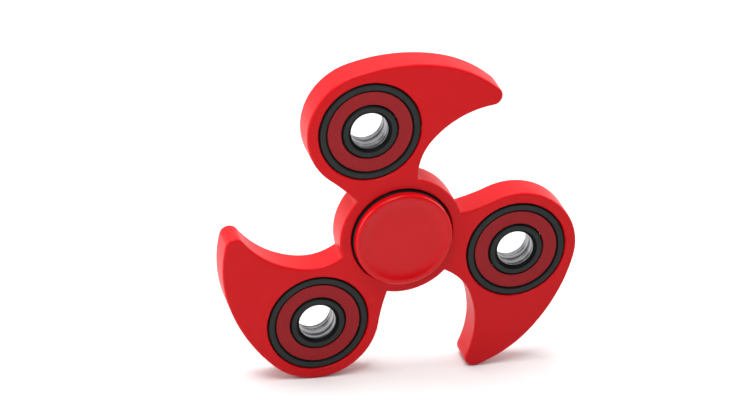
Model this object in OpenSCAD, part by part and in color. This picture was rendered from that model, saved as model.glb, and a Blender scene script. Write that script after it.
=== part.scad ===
// Three-bladed hand spinner: a flat moulded frame with one ball bearing in the hub, pinched between
// two thumb caps, and one open ball bearing in each arm as a weight.
// Every piece is drawn lying flat, spin axis along Z and front face up, then stood on edge by upright():
// the spin axis becomes Y, the front faces -Y, and the origin is the middle of the hub.

/* [Bearings] */
// Outer diameter of each ball bearing
bearing_od = 22; // [21:0.1:27]
// Bore through each ball bearing
bearing_bore = 8; // [6:0.1:9.6]
// Width of each ball bearing, face to face
bearing_width = 7; // [6.8:0.1:9]
// Diameter of each ball
ball_d = 3.96; // [3.3:0.02:4.2]
// Balls in each bearing
ball_count = 7; // [5:1:8]
// Width of the outer ring's face around the seal
outer_face = 1.8; // [1.5:0.1:2.3]
// Distance from the ball circle out to the outer ring's shoulder
outer_land = 1.1; // [0.9:0.05:1.3]
// Distance from the ball circle in to the inner ring's shoulder
inner_land = 1.45; // [1.1:0.05:1.6]
// Chamfer on the edges of both rings' faces
ring_chamfer = 0.35; // [0.1:0.05:0.4]
// Chamfer at each mouth of the bore
bore_chamfer = 0.7; // [0.2:0.05:0.9]
// Thickness of each rubber seal
seal_thickness = 0.7; // [0.5:0.05:0.8]
// How far each seal lies below the bearing's face
seal_recess = 0.2; // [0.05:0.05:0.3]
// Radial thickness of the ball cage
cage_wall = 1.7; // [1.2:0.05:1.9]
// Least width of cage left beside a ball's window
cage_strip = 0.12; // [0.1:0.01:0.3]

/* [Frame] */
// Thickness of the moulded frame
frame_thickness = 7; // [6:0.1:9]
// Wall of the frame outside each bearing
rim_wall = 2.5; // [1.6:0.1:3.5]
// Wall between the hub bearing and an arm bearing
neck_wall = 4.2; // [2:0.1:8]
// Chamfer that leads each bearing into its pocket
lead_in = 0.3; // [0.1:0.05:0.6]
// Turn of the whole frame about its spin axis, so that it stands on a lobe and a blade tip
stand_turn = 18.75; // [0:0.05:120]

/* [Blades] */
// Radius of the long curved back of each blade
back_radius = 38.5; // [32:0.5:48]
// Tighter radius where the back runs out to the tip
nose_radius = 27; // [22:0.5:31]
// Direction in which the back tightens into the nose
nose_from = 61; // [55:1:66]
// Direction in which the nose meets the rounded tip
tip_from = 31; // [24:1:38]
// Direction in which the rounded tip meets the hollow edge
tip_to = -100; // [-108:1:-92]
// Radius of the rounded tip
tip_radius = 2.1; // [1.4:0.1:3]
// Radius of the hollow inner edge of each blade
hollow_radius = 20.2; // [16.8:0.1:24.5]
// Direction in which the hollow edge tightens into the throat
throat_from = 124; // [118:1:132]
// Tighter radius where the hollow edge runs down to the hub
throat_radius = 11.6; // [9:0.1:14]
// Radius of the shallow curve from each lobe down to the hub
flank_radius = 40; // [32:1:60]
// Direction in which the lobe meets that curve
flank_from = 216; // [212:1:220]

/* [Thumb caps] */
// Gap between the rim of a cap and the wall of the hub pocket
cap_margin = 0.4; // [0.2:0.05:1.5]
// Height of a cap's underside above the bearing's face
cap_lift = 0.35; // [0.25:0.05:0.8]
// Thickness of a cap at its rim
cap_thickness = 1.85; // [1.5:0.05:3]
// Rounding of the cap's rim
cap_round = 0.7; // [0.3:0.05:1]
// Depth of the finger dish in a cap
dish_depth = 0.6; // [0.2:0.05:0.8]
// Width of the raised rim outside the finger dish
dish_rim = 1.1; // [0.9:0.05:2.5]
// Width of the slope between the dish's edge and its flat floor
dish_slope = 3; // [1:0.1:5]
// Width of the inner ring's face left bare around a cap's boss
boss_margin = 0.4; // [0.25:0.05:1]
// Diameter of the peg that joins the two caps inside the bore
peg_d = 4.4; // [3:0.1:5]
// Wall left between the peg's socket and the outside of the front cap
socket_floor = 1.6; // [1.2:0.1:1.8]

/* [Fits] */
// Radial gap of the pressed fits: bearing in frame, cap in bore, peg in socket
press_gap = 0.01; // [0.005:0.005:0.02]
// Gap between a ball and its grooves and cage pocket
ball_gap = 0.05; // [0.02:0.01:0.09]
// Gap between a seal and the turning inner ring
seal_gap = 0.15; // [0.1:0.05:0.3]
// Gap between a seal's rim and its seat
seal_seat_gap = 0.1; // [0.02:0.01:0.15]
// Gap between the cage and the seals
cage_gap = 0.3; // [0.2:0.05:0.35]
// Gap between the two caps' stubs in the middle of the bore
stub_gap = 0.2; // [0.1:0.05:0.6]

/* [Hidden] */
PLACES = ["hub", "top", "right", "left"];
BEARING_PIECES = ["outer_ring", "inner_ring", "cage", "balls", "front_seal", "rear_seal"];
$fn = 96;
arms = 3;
arm_pitch = 360 / arms;
// Longest side and widest turn of one straight step along the frame's outline
outline_step = 1.2;
outline_turn = 10;
// Extra length of a cut that runs out through a face
cut = 1;

pocket_r = bearing_od / 2 + press_gap;
lobe_r = bearing_od / 2 + rim_wall;
hub_r = lobe_r;
arm_r = bearing_od + neck_wall;

half_width = bearing_width / 2;
ball_r = ball_d / 2;
ball_circle_r = (bearing_od + bearing_bore) / 4;
groove_r = ball_r + ball_gap;
seal_seat_r = bearing_od / 2 - outer_face;
outer_shoulder_r = ball_circle_r + outer_land;
inner_shoulder_r = ball_circle_r - inner_land;
cage_least = groove_r + cage_strip;
seal_seat_z = max(half_width - seal_recess - seal_thickness, cage_least + ball_gap);
cage_half = max(seal_seat_z - cage_gap, cage_least);
cage_middle_r = (inner_shoulder_r + outer_shoulder_r) / 2;

cap_r = pocket_r - cap_margin;
boss_r = inner_shoulder_r - boss_margin;
stub_r = bearing_bore / 2 - press_gap;
stub_end = stub_gap / 2;
cap_under = half_width + cap_lift;
cap_top = cap_under + cap_thickness;
dish_r = cap_r - dish_rim;
dish_floor_r = dish_r - dish_slope;
dish_slope_r = (dish_slope * dish_slope + dish_depth * dish_depth) / (2 * dish_depth);
socket_r = peg_d / 2;
socket_end = cap_top - dish_depth - socket_floor;
peg_end = socket_end - stub_gap;

red = [0.80, 0.09, 0.12];
seal_red = [0.55, 0.13, 0.16];
black = [0.13, 0.14, 0.15];
steel = [0.75, 0.76, 0.78];
nylon = [0.86, 0.82, 0.70];

// ---- plane geometry of the outline ----

function towards(angle) = [cos(angle), sin(angle)];
// Direction from a centre to a point, from 0 up to 360 degrees
function bearing_from(centre, point) = (atan2(point[1] - centre[1], point[0] - centre[0]) + 360) % 360;
function turned(point, angle) = [point[0] * cos(angle) - point[1] * sin(angle),
                                 point[0] * sin(angle) + point[1] * cos(angle)];
// Steps along an arc, without its last point, because the next arc starts there
function arc(centre, r, from, to) =
    let (steps = ceil(max(abs(to - from) / outline_turn, r * abs(to - from) * PI / 180 / outline_step)))
    [for (i = [0 : steps - 1]) centre + r * towards(from + (to - from) * i / steps)];
// Where a circle crosses the hub's own circle; side picks one of the two crossings. If the circles stay
// clear of each other, it is the point of the hub's circle that lies nearest to the other one.
function on_hub(centre, r, side) =
    let (d = norm(centre),
         along = min(hub_r, (hub_r * hub_r - r * r + d * d) / (2 * d)),
         across = side * sqrt(hub_r * hub_r - along * along),
         unit = centre / d)
    [along * unit[0] - across * unit[1], along * unit[1] + across * unit[0]];

// Centres of the arcs of one arm, whose bearing lies straight up from the hub; each arc is tangent to
// the one before it, and the two that reach the hub end where they cross its circle
lobe_centre = [0, arm_r];
back_centre = lobe_centre - (back_radius - lobe_r) * towards(90);
nose_centre = back_centre + (back_radius - nose_radius) * towards(nose_from);
tip_centre = nose_centre + (nose_radius - tip_radius) * towards(tip_from);
hollow_centre = tip_centre + (hollow_radius + tip_radius) * towards(tip_to);
throat_centre = hollow_centre + (hollow_radius - throat_radius) * towards(throat_from);
flank_centre = lobe_centre + (lobe_r + flank_radius) * towards(flank_from);
throat_foot = on_hub(throat_centre, throat_radius, 1);
flank_foot = on_hub(flank_centre, flank_radius, -1);

arm_outline = concat(
    arc(flank_centre, flank_radius, bearing_from(flank_centre, flank_foot), flank_from - 180),
    arc(lobe_centre, lobe_r, flank_from, 90),
    arc(back_centre, back_radius, 90, nose_from),
    arc(nose_centre, nose_radius, nose_from, tip_from),
    arc(tip_centre, tip_radius, tip_from, tip_to),
    arc(hollow_centre, hollow_radius, tip_to + 180, throat_from),
    arc(throat_centre, throat_radius, throat_from, bearing_from(throat_centre, throat_foot)),
    arc([0, 0], hub_r, bearing_from([0, 0], throat_foot), bearing_from([0, 0], flank_foot) - arm_pitch));
frame_outline = [for (k = [0 : arms - 1]) for (p = arm_outline) turned(p, stand_turn - k * arm_pitch)];

// Middle of each bearing: the hub's, then the arms', clockwise from the top
function centre_of(place) =
    place == 0 ? [0, 0] : arm_r * towards(90 + stand_turn - (place - 1) * arm_pitch);

module upright() rotate([90, 0, 0]) children();
module at(place) translate(centre_of(place)) children();
module rear_side() mirror([0, 0, 1]) children();

// ---- the frame ----

module pocket() {
    cylinder(r = pocket_r, h = frame_thickness + 2 * cut, center = true);
    for (side = [0, 1])
        mirror([0, 0, side])
            translate([0, 0, frame_thickness / 2 - lead_in])
                cylinder(r1 = pocket_r, r2 = pocket_r + lead_in + cut, h = lead_in + cut);
}

module body()
    color(red)
        upright()
            difference() {
                linear_extrude(frame_thickness, center = true) polygon(frame_outline);
                for (place = [0 : arms]) at(place) pocket();
            }

// ---- ball bearing pieces, centred on the bearing ----

module ball_groove() rotate_extrude() translate([ball_circle_r, 0]) circle(r = groove_r);

module outer_ring()
    color(black)
        difference() {
            rotate_extrude()
                polygon([
                    [outer_shoulder_r, -seal_seat_z],
                    [seal_seat_r, -seal_seat_z],
                    [seal_seat_r, -half_width + ring_chamfer],
                    [seal_seat_r + ring_chamfer, -half_width],
                    [bearing_od / 2 - ring_chamfer, -half_width],
                    [bearing_od / 2, -half_width + ring_chamfer],
                    [bearing_od / 2, half_width - ring_chamfer],
                    [bearing_od / 2 - ring_chamfer, half_width],
                    [seal_seat_r + ring_chamfer, half_width],
                    [seal_seat_r, half_width - ring_chamfer],
                    [seal_seat_r, seal_seat_z],
                    [outer_shoulder_r, seal_seat_z]
                ]);
            ball_groove();
        }

module inner_ring()
    color(black)
        difference() {
            rotate_extrude()
                polygon([
                    [bearing_bore / 2, -half_width + bore_chamfer],
                    [bearing_bore / 2 + bore_chamfer, -half_width],
                    [inner_shoulder_r - ring_chamfer, -half_width],
                    [inner_shoulder_r, -half_width + ring_chamfer],
                    [inner_shoulder_r, half_width - ring_chamfer],
                    [inner_shoulder_r - ring_chamfer, half_width],
                    [bearing_bore / 2 + bore_chamfer, half_width],
                    [bearing_bore / 2, half_width - bore_chamfer]
                ]);
            ball_groove();
        }

module each_ball()
    for (i = [0 : ball_count - 1])
        rotate([0, 0, i * 360 / ball_count]) translate([ball_circle_r, 0, 0]) children();

module balls() color(steel) each_ball() sphere(r = ball_r);

// The cage has a round window through its wall for each ball
module cage()
    color(nylon)
        difference() {
            cylinder(r = cage_middle_r + cage_wall / 2, h = 2 * cage_half, center = true);
            cylinder(r = cage_middle_r - cage_wall / 2, h = 2 * cage_half + cut, center = true);
            each_ball() rotate([0, 90, 0]) cylinder(r = groove_r, h = 2 * cage_wall, center = true);
        }

module seal()
    color(seal_red)
        translate([0, 0, seal_seat_z])
            difference() {
                cylinder(r = seal_seat_r - seal_seat_gap, h = seal_thickness);
                translate([0, 0, -cut])
                    cylinder(r = inner_shoulder_r + seal_gap, h = seal_thickness + 2 * cut);
            }

module bearing_piece(piece) {
    if (piece == "outer_ring") outer_ring();
    if (piece == "inner_ring") inner_ring();
    if (piece == "cage") cage();
    if (piece == "balls") balls();
    if (piece == "front_seal") seal();
    if (piece == "rear_seal") rear_side() seal();
}

// ---- thumb caps ----

// Corner points of a cap's rounded rim, from the side wall up onto the top
cap_rim = [for (a = [0 : 15 : 90]) [cap_r - cap_round, cap_top - cap_round] + cap_round * towards(a)];

// Dished disc, the boss that stands on the inner ring, and the stub that fills half of the bore
module cap_blank()
    rotate_extrude()
        difference() {
            polygon(concat(
                [[0, stub_end], [stub_r, stub_end], [stub_r, half_width], [boss_r, half_width],
                 [boss_r, cap_under], [cap_r, cap_under]],
                cap_rim,
                [[0, cap_top]]));
            translate([dish_floor_r, cap_top - dish_depth + dish_slope_r]) circle(r = dish_slope_r, $fn = 720);
            translate([0, cap_top - dish_depth]) square([dish_floor_r, dish_depth + cut]);
        }

module front_cap()
    color(red)
        upright()
            difference() {
                cap_blank();
                cylinder(r = socket_r, h = socket_end);
            }

module rear_cap()
    color(red)
        upright() {
            rear_side() cap_blank();
            translate([0, 0, -half_width]) cylinder(r = socket_r - press_gap, h = half_width + peg_end);
        }

body();
front_cap();
rear_cap();
for (place = [0 : len(PLACES) - 1])
    for (piece = BEARING_PIECES)
        upright() at(place) bearing_piece(piece);
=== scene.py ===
# A three-bladed hand spinner, standing on one lobe and one blade tip: a red moulded frame, a ball
# bearing in each arm and in the hub, and two dished caps that pinch the hub bearing.
# Lengths are in metres. The spin axis is Y, the front faces -Y and Z is up.

import math

import bpy
from mathutils import Matrix, Vector


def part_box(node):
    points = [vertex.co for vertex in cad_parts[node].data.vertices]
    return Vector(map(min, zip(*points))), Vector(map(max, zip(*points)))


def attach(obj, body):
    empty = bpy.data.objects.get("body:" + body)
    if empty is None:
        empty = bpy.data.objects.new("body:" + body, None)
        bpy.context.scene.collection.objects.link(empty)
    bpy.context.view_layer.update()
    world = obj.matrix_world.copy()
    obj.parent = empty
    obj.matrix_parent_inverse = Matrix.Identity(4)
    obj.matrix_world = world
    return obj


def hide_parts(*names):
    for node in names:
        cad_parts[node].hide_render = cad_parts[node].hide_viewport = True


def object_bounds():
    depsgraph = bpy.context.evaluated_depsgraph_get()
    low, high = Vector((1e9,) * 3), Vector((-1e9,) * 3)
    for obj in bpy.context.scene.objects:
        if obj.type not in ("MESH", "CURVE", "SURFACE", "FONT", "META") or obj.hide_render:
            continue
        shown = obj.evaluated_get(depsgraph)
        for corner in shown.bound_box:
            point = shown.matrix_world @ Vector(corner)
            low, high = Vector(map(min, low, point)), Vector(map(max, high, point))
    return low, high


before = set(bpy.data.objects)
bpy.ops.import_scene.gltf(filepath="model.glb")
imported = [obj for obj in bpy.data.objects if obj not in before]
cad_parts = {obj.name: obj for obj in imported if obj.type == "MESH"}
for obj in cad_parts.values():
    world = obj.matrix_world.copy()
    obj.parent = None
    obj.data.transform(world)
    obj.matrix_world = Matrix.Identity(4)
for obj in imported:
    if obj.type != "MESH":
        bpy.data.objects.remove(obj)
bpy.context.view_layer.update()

MM = 0.001


# ---- Moulded frame ----
# One injection-moulded plate of satin red plastic with three curved blades. The mould leaves every
# outer edge softly rounded, and each of its four pockets has a lead-in for a pressed bearing.

EDGE_ROUNDING = 0.5 * MM
EDGE_STEPS = 6
MOULDED_RED = (0.51, 0.0015, 0.0045, 1)
MOULDED_RED_PALE = (0.59, 0.0028, 0.0065, 1)
BEARING_RADIUS = 11 * MM
WELD_DISTANCE = 0.001 * MM
FLAT_ANGLE = math.radians(0.8)
SHADING_ANGLE = math.radians(40)


class Wire:
    """A shader socket that can be used in arithmetic, each step adding the node that does it."""

    def __init__(self, finish, socket):
        self.finish = finish
        self.socket = socket

    def step(self, operation, first, second):
        return self.finish.node("ShaderNodeMath", {"operation": operation}, {0: first, 1: second})

    def __add__(self, other):
        return self.step("ADD", self, other)

    def __radd__(self, other):
        return self.step("ADD", other, self)

    def __sub__(self, other):
        return self.step("SUBTRACT", self, other)

    def __rsub__(self, other):
        return self.step("SUBTRACT", other, self)

    def __mul__(self, other):
        return self.step("MULTIPLY", self, other)

    def __rmul__(self, other):
        return self.step("MULTIPLY", other, self)


class Finish:
    """A material under construction, with constants for its plain sockets."""

    def __init__(self, name, **constants):
        self.material = bpy.data.materials.new(name)
        self.material.use_nodes = True
        self.tree = self.material.node_tree
        self.surface = self.tree.nodes["Principled BSDF"]
        for socket, value in constants.items():
            self.surface.inputs[socket.replace("_", " ")].default_value = value

    def node(self, kind, settings, inputs, output=0):
        """Adds a node, with its settings first and then the values or links of its sockets."""
        made = self.tree.nodes.new(kind)
        for setting, value in settings.items():
            setattr(made, setting, value)
        for socket, value in inputs.items():
            if isinstance(value, Wire):
                self.tree.links.new(value.socket, made.inputs[socket])
            else:
                made.inputs[socket].default_value = value
        return Wire(self, made.outputs[output])

    def position(self, centre=(0, 0, 0)):
        """The point on the object, counted from the given centre."""
        here = self.node("ShaderNodeTexCoord", {}, {}, "Object")
        away = [-c for c in centre]
        return self.node("ShaderNodeMapping", {}, {"Vector": here, "Location": away})

    def noise(self, where, grain, detail):
        """Soft blotches of 0 to 1, about one grain apart."""
        return self.node("ShaderNodeTexNoise", {}, {"Vector": where, "Scale": 1 / grain, "Detail": detail})

    def bands(self, along, pitch, detail):
        """Soft bands of 0 to 1 across one direction, about one pitch apart."""
        return self.node("ShaderNodeTexNoise", {"noise_dimensions": "1D"},
                         {"W": along, "Scale": 1 / pitch, "Detail": detail})

    def between(self, amount, low, high):
        """One colour at 0, the other at 1 and a mixture on the way."""
        return self.node("ShaderNodeMix", {"data_type": "RGBA"}, {0: amount, 6: low, 7: high}, 2)

    def bump(self, height, depth):
        """Raises the surface by up to the given depth."""
        return self.node("ShaderNodeBump", {}, {"Height": height, "Distance": depth, "Strength": 1.0})

    def wear(self, **sockets):
        """Joins what varies over the surface to the sockets it varies."""
        for socket, wire in sockets.items():
            self.tree.links.new(wire.socket, self.surface.inputs[socket.replace("_", " ")])
        return self.material


def moulded_plastic(name, roughness, shine, texture_depth):
    """Satin red plastic: slow colour drift, faint gloss patches and a fine mould texture."""
    finish = Finish(name, IOR=1.45, Specular_IOR_Level=shine)
    where = finish.position()
    drift = finish.noise(where, 14 * MM, 3.0)
    patches = finish.noise(where, 2.5 * MM, 4.0)
    texture = finish.noise(where, 0.22 * MM, 3.0)
    return finish.wear(
        Base_Color=finish.between(drift, MOULDED_RED, MOULDED_RED_PALE),
        Roughness=roughness + (patches - 0.5) * 0.12,
        Normal=finish.bump(texture, texture_depth),
    )


def copy_of(source, name):
    """A new piece with its own copy of another one's mesh."""
    piece = bpy.data.objects.new(name, source.data.copy())
    bpy.context.scene.collection.objects.link(piece)
    return piece


def pick(piece):
    """Selects one piece and nothing else."""
    bpy.ops.object.select_all(action="DESELECT")
    piece.select_set(True)
    bpy.context.view_layer.objects.active = piece


def smooth(piece):
    """Shades a piece round over its softened edges and flat over its flat faces."""
    pick(piece)
    bpy.ops.object.shade_smooth_by_angle(angle=SHADING_ANGLE)
    bpy.ops.object.modifier_add(type="WEIGHTED_NORMAL")
    piece.modifiers[-1].keep_sharp = True
    bpy.ops.object.modifier_apply(modifier=piece.modifiers[-1].name)


def middle(node):
    """Middle of a solid's box."""
    low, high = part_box(node)
    return (Vector(low) + Vector(high)) / 2


moulded_frame = copy_of(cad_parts["body"], "moulded_frame")
moulded_frame.data.materials.clear()
moulded_frame.data.materials.append(moulded_plastic("moulded_red_plastic", 0.40, 0.17, 0.004 * MM))

pick(moulded_frame)
bpy.ops.object.mode_set(mode="EDIT")
bpy.ops.mesh.select_all(action="SELECT")
bpy.ops.mesh.remove_doubles(threshold=WELD_DISTANCE)
bpy.ops.mesh.dissolve_limited(angle_limit=FLAT_ANGLE)
bpy.ops.mesh.select_mode(type="EDGE")
bpy.ops.mesh.select_all(action="DESELECT")
bpy.ops.object.mode_set(mode="OBJECT")

# An outer edge lies between a face and a side wall, and clear of every pocket
PLACES = ["hub", "top", "right", "left"]
WALL_LEAN = 0.1
FACE_TOLERANCE = 0.01 * MM
POCKET_MARGIN = 1 * MM
pocket_middles = [middle(place + "_outer_ring") for place in PLACES]
face_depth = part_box("body")[1][1]
wall_edges = {
    key
    for face in moulded_frame.data.polygons
    if abs(face.normal.y) < WALL_LEAN
    for key in face.edge_keys
}
for edge in moulded_frame.data.edges:
    start, end = [moulded_frame.data.vertices[v].co for v in edge.vertices]
    same_side = start.y * end.y > 0
    along_a_face = same_side and min(abs(start.y), abs(end.y)) > face_depth - FACE_TOLERANCE
    clear_of_pockets = all(
        math.hypot(start.x - p.x, start.z - p.z) > BEARING_RADIUS + POCKET_MARGIN for p in pocket_middles
    )
    edge.select = along_a_face and clear_of_pockets and edge.key in wall_edges

bpy.ops.object.mode_set(mode="EDIT")
bpy.ops.mesh.bevel(
    offset=EDGE_ROUNDING, segments=EDGE_STEPS, profile=0.5, affect="EDGES", clamp_overlap=False)
bpy.ops.object.mode_set(mode="OBJECT")
smooth(moulded_frame)
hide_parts("body")
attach(moulded_frame, "frame")


# ---- Bearing rings ----
# Ground steel rings, blackened outside and left bright in the bore. Each has a round groove for the
# balls, and the outer ring is stepped on both faces to seat a seal.

HALF_WIDTH = 3.5 * MM
BORE_RADIUS = 4 * MM
BALL_CIRCLE_RADIUS = 7.5 * MM
GROOVE_RADIUS = 2.03 * MM
GROOVE_STEPS = 16
OUTER_SHOULDER = 8.6 * MM
INNER_SHOULDER = 6.05 * MM
SEAT_RADIUS = 9.2 * MM
SEAT_DEPTH = 2.6 * MM
FACE_CHAMFER = 0.35 * MM
BORE_CHAMFER = 0.7 * MM
BORE_MARGIN = 0.1 * MM
OUTER_RING_ROUNDING = 0.09 * MM
INNER_RING_ROUNDING = 0.12 * MM
TURNING_STEPS = 144
CORNER_STEPS = 3
CORNER_ANGLE = math.radians(32)
BLACK_OXIDE = (0.0015, 0.0015, 0.0018, 1)
GROUND_FACE = (0.017, 0.020, 0.020, 1)
GROUND_FACE_PALE = (0.028, 0.033, 0.032, 1)
# Painted reflection: the dark and the light colour of the bands painted round the bore
BORE_PAINTED_DARK_STREAK = (0.05, 0.05, 0.055, 1)
BORE_PAINTED_LIGHT_STREAK = (0.31, 0.31, 0.325, 1)
BAND_START = 3


def turned(name, profile, ring=True):
    """Turns (radius, depth) points into a closed ring, or into a disc with its two ends filled."""
    bpy.ops.object.select_all(action="DESELECT")
    radius, depth = profile[0]
    bpy.ops.mesh.primitive_circle_add(
        vertices=TURNING_STEPS,
        radius=radius,
        fill_type="NOTHING" if ring else "TRIFAN",
        location=(0, depth, 0),
        rotation=(math.pi / 2, 0, 0),
    )
    piece = bpy.context.object
    piece.name = name
    bpy.ops.object.transform_apply(location=True, rotation=True, scale=True)
    bpy.ops.object.mode_set(mode="EDIT")
    bpy.ops.mesh.select_mode(type="EDGE")
    if ring:
        bpy.ops.mesh.select_all(action="SELECT")
    else:
        bpy.ops.mesh.select_all(action="DESELECT")
        bpy.ops.mesh.select_non_manifold(extend=False)
    following = profile[1:] + profile[:1] if ring else profile[1:]
    for next_radius, next_depth in following:
        bpy.ops.mesh.extrude_region_move(TRANSFORM_OT_translate={"value": (0, next_depth - depth, 0)})
        shrink = next_radius / radius
        bpy.ops.transform.resize(value=(shrink, 1, shrink), center_override=(0, 0, 0))
        radius, depth = next_radius, next_depth
    bpy.ops.mesh.select_all(action="SELECT")
    bpy.ops.mesh.remove_doubles(threshold=WELD_DISTANCE)
    bpy.ops.mesh.normals_make_consistent(inside=False)
    bpy.ops.object.mode_set(mode="OBJECT")
    return piece


def soften(piece, width):
    """Rounds a turned piece's corners and shades it."""
    pick(piece)
    bpy.ops.object.modifier_add(type="BEVEL")
    bevel = piece.modifiers[-1]
    bevel.width = width
    bevel.segments = CORNER_STEPS
    bevel.limit_method = "ANGLE"
    bevel.angle_limit = CORNER_ANGLE
    bpy.ops.object.modifier_apply(modifier=bevel.name)
    smooth(piece)


def groove(side):
    """Points along the ball groove of the outer ring (side 1) or the inner ring (side -1)."""
    shoulder = OUTER_SHOULDER if side > 0 else INNER_SHOULDER
    reach = math.acos(abs(shoulder - BALL_CIRCLE_RADIUS) / GROOVE_RADIUS)
    angles = [reach * (2 * k / GROOVE_STEPS - 1) for k in range(GROOVE_STEPS + 1)]
    return [
        (BALL_CIRCLE_RADIUS + side * GROOVE_RADIUS * math.cos(a), GROOVE_RADIUS * math.sin(a))
        for a in angles
    ]


def both_faces(corners):
    """Corners on the rear face, in order, and then the same ones mirrored on the front face."""
    return corners + [(radius, -depth) for radius, depth in reversed(corners)]


def turning_marks(finish, where, pitch):
    """Fine rings round the spin axis, as a lathe or a grinder leaves them."""
    flat = finish.node("ShaderNodeVectorMath", {"operation": "MULTIPLY"}, {0: where, 1: (1, 0, 1)})
    radius = finish.node("ShaderNodeVectorMath", {"operation": "LENGTH"}, {0: flat}, "Value")
    return finish.bands(radius, pitch, 3.0)


def blackened_steel(place, centre):
    """Black oxide, worn a little greyer where the faces were ground flat."""
    finish = Finish(place + "_blackened_steel", IOR=1.5, Specular_IOR_Level=0.10)
    where = finish.position(centre)
    rings = turning_marks(finish, where, 0.09 * MM)
    film = finish.noise(where, 3 * MM, 3.0)
    depth = finish.node("ShaderNodeSeparateXYZ", {}, {0: where}, "Y")
    from_middle = finish.node("ShaderNodeMath", {"operation": "ABSOLUTE"}, {0: depth})
    ground = finish.node("ShaderNodeMapRange", {}, {
        "Value": from_middle, "From Min": HALF_WIDTH - 0.06 * MM, "From Max": HALF_WIDTH - 0.01 * MM})
    grey = finish.between(film, GROUND_FACE, GROUND_FACE_PALE)
    return finish.wear(
        Base_Color=finish.between(ground, BLACK_OXIDE, grey),
        Metallic=ground * (0.05 + film * 0.15),
        Roughness=0.55 - ground * 0.28 + rings * 0.14,
        Normal=finish.bump(rings, 0.004 * MM),
    )


def bore_finish_with_painted_reflection(place, centre):
    """Ground steel with bands round the bore, which start at another point in each bearing. The dull and
    bright bands in its colour are painted reflection, standing in for the streaks that a polished bore
    reflects; the bump adds real grinding bands.
    """
    finish = Finish(place + "_bore_steel_painted_streaks", Metallic=1.0)
    where = finish.position(centre)
    depth = finish.node("ShaderNodeSeparateXYZ", {}, {0: where}, "Y")
    bands = finish.bands(depth + (BAND_START + centre.x), 1.1 * MM, 2.0)
    streaks = finish.noise(where, 1.6 * MM, 3.0)
    # Painted reflection: where the bore's colour goes from the dark band to the light one
    painted_band_mask = finish.node("ShaderNodeMapRange", {"interpolation_type": "SMOOTHSTEP"}, {
        "Value": bands + (streaks - 0.5) * 0.4, "From Min": 0.34, "From Max": 0.62})
    return finish.wear(
        Base_Color=finish.between(painted_band_mask, BORE_PAINTED_DARK_STREAK, BORE_PAINTED_LIGHT_STREAK),
        Roughness=0.42 - painted_band_mask * 0.10,
        Normal=finish.bump(bands, 0.05 * MM),
    )


def put(pattern, name, centre, body, node, finishes):
    """Copies a piece modelled round the origin to its bearing, in place of its solid."""
    piece = copy_of(pattern, name)
    piece.data.transform(Matrix.Translation(centre))
    for finish in finishes:
        piece.data.materials.append(finish)
    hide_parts(node)
    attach(piece, body)


outer_pattern = turned("outer_pattern", groove(1) + both_faces([
    (OUTER_SHOULDER, SEAT_DEPTH),
    (SEAT_RADIUS, SEAT_DEPTH),
    (SEAT_RADIUS, HALF_WIDTH - FACE_CHAMFER),
    (SEAT_RADIUS + FACE_CHAMFER, HALF_WIDTH),
    (BEARING_RADIUS - FACE_CHAMFER, HALF_WIDTH),
    (BEARING_RADIUS, HALF_WIDTH - FACE_CHAMFER),
]))
soften(outer_pattern, OUTER_RING_ROUNDING)

inner_pattern = turned("inner_pattern", groove(-1) + both_faces([
    (INNER_SHOULDER, HALF_WIDTH - FACE_CHAMFER),
    (INNER_SHOULDER - FACE_CHAMFER, HALF_WIDTH),
    (BORE_RADIUS + BORE_CHAMFER, HALF_WIDTH),
    (BORE_RADIUS, HALF_WIDTH - BORE_CHAMFER),
]))
soften(inner_pattern, INNER_RING_ROUNDING)

# The second finish, the bright one, goes on the bore between its chamfers
for face in inner_pattern.data.polygons:
    near_bore = math.hypot(face.center.x, face.center.z) < BORE_RADIUS + BORE_MARGIN
    face.material_index = int(near_bore and abs(face.center.y) < HALF_WIDTH - BORE_CHAMFER)

for place, centre in zip(PLACES, pocket_middles):
    black = blackened_steel(place, centre)
    ring_body = "hub" if place == "hub" else place + "_ring"
    put(outer_pattern, place + "_outer_race", centre, "frame", place + "_outer_ring",
        [black])
    put(inner_pattern, place + "_inner_race", centre, ring_body, place + "_inner_ring",
        [black, bore_finish_with_painted_reflection(place, centre)])
bpy.data.objects.remove(outer_pattern)
bpy.data.objects.remove(inner_pattern)


# ---- Balls and cages ----
# Polished steel balls, held apart by a moulded nylon cage. Both lie behind the seals.

BALL_STEEL = (0.70, 0.71, 0.73, 1)
BALL_STEEL_PALE = (0.82, 0.83, 0.85, 1)
NYLON = (0.68, 0.62, 0.47, 1)
NYLON_PALE = (0.80, 0.75, 0.61, 1)

ball_steel = Finish("polished_ball_steel", Metallic=1.0)
ball_scuffs = ball_steel.noise(ball_steel.position(), 1.2 * MM, 4.0)
ball_steel.wear(
    Base_Color=ball_steel.between(ball_scuffs, BALL_STEEL, BALL_STEEL_PALE),
    Roughness=0.08 + ball_scuffs * 0.10,
)

cage_nylon = Finish("cage_nylon", IOR=1.5, Subsurface_Weight=0.1, Subsurface_Scale=1 * MM)
cage_cloud = cage_nylon.noise(cage_nylon.position(), 1.5 * MM, 3.0)
cage_nylon.wear(
    Base_Color=cage_nylon.between(cage_cloud, NYLON, NYLON_PALE),
    Roughness=0.45 + cage_cloud * 0.12,
    Normal=cage_nylon.bump(cage_cloud, 0.01 * MM),
)

for place in PLACES:
    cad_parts[place + "_balls"].material_slots[0].material = ball_steel.material
    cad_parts[place + "_cage"].material_slots[0].material = cage_nylon.material


# ---- Seals ----
# Dark red rubber washers, one in each face of each bearing. They sit just below the rings' faces and
# stop short of the inner ring, with a raised lip moulded round both edges.

SEAL_OUTER = 9.1 * MM
SEAL_INNER = 6.2 * MM
SEAL_TOP = 3.3 * MM
OUTER_LIP = 0.32 * MM
INNER_LIP = 0.40 * MM
LIP_HEIGHT = 0.07 * MM
LIP_SLOPE = 0.10 * MM
SEAL_ROUNDING = 0.1 * MM
SEAL_RED = (0.240, 0.0085, 0.0120, 1)
SEAL_RED_PALE = (0.310, 0.0130, 0.0170, 1)


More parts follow.
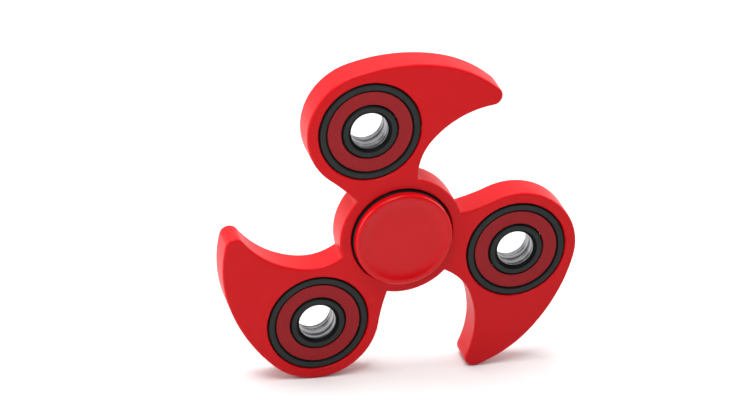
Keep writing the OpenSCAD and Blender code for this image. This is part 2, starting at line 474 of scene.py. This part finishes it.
def seal_rubber(place, centre):
    """Dull red rubber with a faint bloom, a fine grain and rings round the axis."""
    finish = Finish(place + "_seal_rubber", IOR=1.45, Specular_IOR_Level=0.2)
    where = finish.position(centre)
    bloom = finish.noise(where, 2.2 * MM, 4.0)
    grain = finish.noise(where, 0.16 * MM, 3.0)
    rings = turning_marks(finish, where, 0.3 * MM)
    return finish.wear(
        Base_Color=finish.between(bloom, SEAL_RED, SEAL_RED_PALE),
        Roughness=0.56 + bloom * 0.14,
        Normal=finish.bump(grain + rings * 0.6, 0.008 * MM),
    )


seal_pattern = turned("seal_pattern", [
    (SEAL_OUTER, -SEAT_DEPTH),
    (SEAL_OUTER, -SEAL_TOP),
    (SEAL_OUTER - OUTER_LIP, -SEAL_TOP),
    (SEAL_OUTER - OUTER_LIP - LIP_SLOPE, -SEAL_TOP + LIP_HEIGHT),
    (SEAL_INNER + INNER_LIP + LIP_SLOPE, -SEAL_TOP + LIP_HEIGHT),
    (SEAL_INNER + INNER_LIP, -SEAL_TOP),
    (SEAL_INNER, -SEAL_TOP),
    (SEAL_INNER, -SEAT_DEPTH),
])
soften(seal_pattern, SEAL_ROUNDING)
rear_seal_pattern = copy_of(seal_pattern, "rear_seal_pattern")
rear_seal_pattern.data.transform(Matrix.Rotation(math.pi, 4, "Z"))
for place, centre in zip(PLACES, pocket_middles):
    rubber = seal_rubber(place, centre)
    put(seal_pattern, place + "_front_washer", centre, "frame", place + "_front_seal",
        [rubber])
    put(rear_seal_pattern, place + "_rear_washer", centre, "frame", place + "_rear_seal",
        [rubber])
bpy.data.objects.remove(seal_pattern)
bpy.data.objects.remove(rear_seal_pattern)


# ---- Thumb caps ----
# Two moulded discs with a shallow finger dish and a rounded rim. A stub on each fills half of the hub
# bearing's bore, and a peg on the rear one is pressed into a socket in the front one.

CAP_RADIUS = 10.61 * MM
CAP_UNDER = 3.85 * MM
CAP_TOP = 5.7 * MM
CAP_ROUND = 0.7 * MM
CAP_ROUND_STEP = 10
CAP_CORNER_ROUNDING = 0.12 * MM
DISH_RADIUS = 9.51 * MM
DISH_DEPTH = 0.6 * MM
DISH_SLOPE = 3.0 * MM
DISH_STEPS = 10
BOSS_RADIUS = 5.65 * MM
STUB_RADIUS = 3.99 * MM
STUB_END = 0.1 * MM
PEG_RADIUS = 2.19 * MM
PEG_END = 3.3 * MM
SOCKET_RADIUS = 2.2 * MM
SOCKET_END = 3.5 * MM


def cap_profile(inside):
    """From the floor of the dish, over the rim and down the stub; inside lists what is at its end."""
    floor_radius = DISH_RADIUS - DISH_SLOPE
    floor_depth = CAP_TOP - DISH_DEPTH
    bend = (DISH_SLOPE**2 + DISH_DEPTH**2) / (2 * DISH_DEPTH)
    outward = [DISH_SLOPE * (k / DISH_STEPS) for k in range(DISH_STEPS + 1)]
    over_dish = [(floor_radius + d, floor_depth + bend - math.sqrt(bend**2 - d**2)) for d in outward]
    rim_radius = CAP_RADIUS - CAP_ROUND
    rim_depth = CAP_TOP - CAP_ROUND
    turns = [math.radians(a) for a in range(90, -1, -CAP_ROUND_STEP)]
    over_rim = [(rim_radius + CAP_ROUND * math.cos(a), rim_depth + CAP_ROUND * math.sin(a)) for a in turns]
    under = [
        (CAP_RADIUS, CAP_UNDER),
        (BOSS_RADIUS, CAP_UNDER),
        (BOSS_RADIUS, HALF_WIDTH),
        (STUB_RADIUS, HALF_WIDTH),
        (STUB_RADIUS, STUB_END),
    ]
    return over_dish + over_rim + under + inside


cap_plastic = moulded_plastic("cap_red_plastic", 0.24, 0.24, 0.001 * MM)

rear_thumb_cap = turned("rear_thumb_cap", cap_profile([
    (PEG_RADIUS, STUB_END), (PEG_RADIUS, -PEG_END), (0, -PEG_END)]), ring=False)
front_thumb_cap = turned("front_thumb_cap", cap_profile([
    (SOCKET_RADIUS, STUB_END), (SOCKET_RADIUS, SOCKET_END), (0, SOCKET_END)]), ring=False)
front_thumb_cap.data.transform(Matrix.Rotation(math.pi, 4, "Z"))
for cap, node in [(front_thumb_cap, "front_cap"), (rear_thumb_cap, "rear_cap")]:
    soften(cap, CAP_CORNER_ROUNDING)
    cap.data.materials.append(cap_plastic)
    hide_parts(node)
    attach(cap, "hub")


# ---- Studio ----
# A white sweep under a large soft light, with one small light close above the front, one close to its
# left, and a panel at each side for the walls. Little light comes from the camera's own side, which
# keeps the flat faces deep in colour.

SWEEP_SIZE = 6
SWEEP_WHITE = (0.70, 0.70, 0.70, 1)
SWEEP_WHITE_PALE = (0.73, 0.73, 0.73, 1)

floor_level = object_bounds()[0][2]
bpy.ops.mesh.primitive_plane_add(size=SWEEP_SIZE, location=(0, 0, floor_level))
floor = bpy.context.object
floor.name = "white_sweep"
sweep = Finish("white_sweep", Roughness=0.5, Specular_IOR_Level=0.2)
sweep_cloud = sweep.noise(sweep.position(), 0.4, 2.0)
floor.data.materials.append(sweep.wear(
    Base_Color=sweep.between(sweep_cloud, SWEEP_WHITE, SWEEP_WHITE_PALE),
))


def softbox(name, location, aim, size, power):
    """A square area light that faces the point it is aimed at."""
    direction = Vector(aim) - Vector(location)
    bpy.ops.object.light_add(type="AREA", location=location)
    light = bpy.context.object
    light.name = name
    light.rotation_euler = direction.to_track_quat("-Z", "Y").to_euler()
    light.data.shape = "SQUARE"
    light.data.size = size
    light.data.energy = power
    light.visible_camera = False


softbox("overhead_light", (-0.20, 0.10, 1.0), (0, 0, 0), size=0.8, power=12)
softbox("top_light", (-0.04, -0.09, 0.17), (0, 0, 0.02), size=0.06, power=0.13)
softbox("left_light", (-0.15, -0.10, 0.06), (0, 0, 0), size=0.06, power=0.035)
softbox("left_side_light", (-0.50, 0.08, 0.16), (0, 0, 0), size=0.4, power=1.6)
softbox("right_side_light", (0.50, 0.08, 0.16), (0, 0, 0), size=0.4, power=1.6)

# The room: a white wall behind and beside the object, falling off to a dark one behind the camera
world = bpy.data.worlds.new("studio")
world.use_nodes = True
room = world.node_tree
looking = room.nodes.new("ShaderNodeTexCoord")
apart = room.nodes.new("ShaderNodeSeparateXYZ")
wall = room.nodes.new("ShaderNodeMapRange")
wall.interpolation_type = "SMOOTHSTEP"
room.links.new(looking.outputs["Generated"], apart.inputs[0])
room.links.new(apart.outputs["Y"], wall.inputs["Value"])
for socket, value in {"From Min": -0.75, "From Max": 0.35, "To Min": 0.08, "To Max": 1.03}.items():
    wall.inputs[socket].default_value = value
room.links.new(wall.outputs["Result"], room.nodes["Background"].inputs["Strength"])
room.nodes["Background"].inputs["Color"].default_value = (1, 1, 1, 1)
bpy.context.scene.world = world
bpy.context.scene.view_settings.view_transform = "Standard"

# A long lens, from the front, a little to the left and above
CAMERA_PLACE = (-0.16028, -0.53386, 0.28252)
CAMERA_TURN = (63.4641, -3.3710, -14.4980)
bpy.ops.object.camera_add(location=CAMERA_PLACE)
camera = bpy.context.object
camera.rotation_euler = [math.radians(a) for a in CAMERA_TURN]
camera.data.sensor_width = 36
camera.data.lens = 140.98
bpy.context.scene.camera = camera
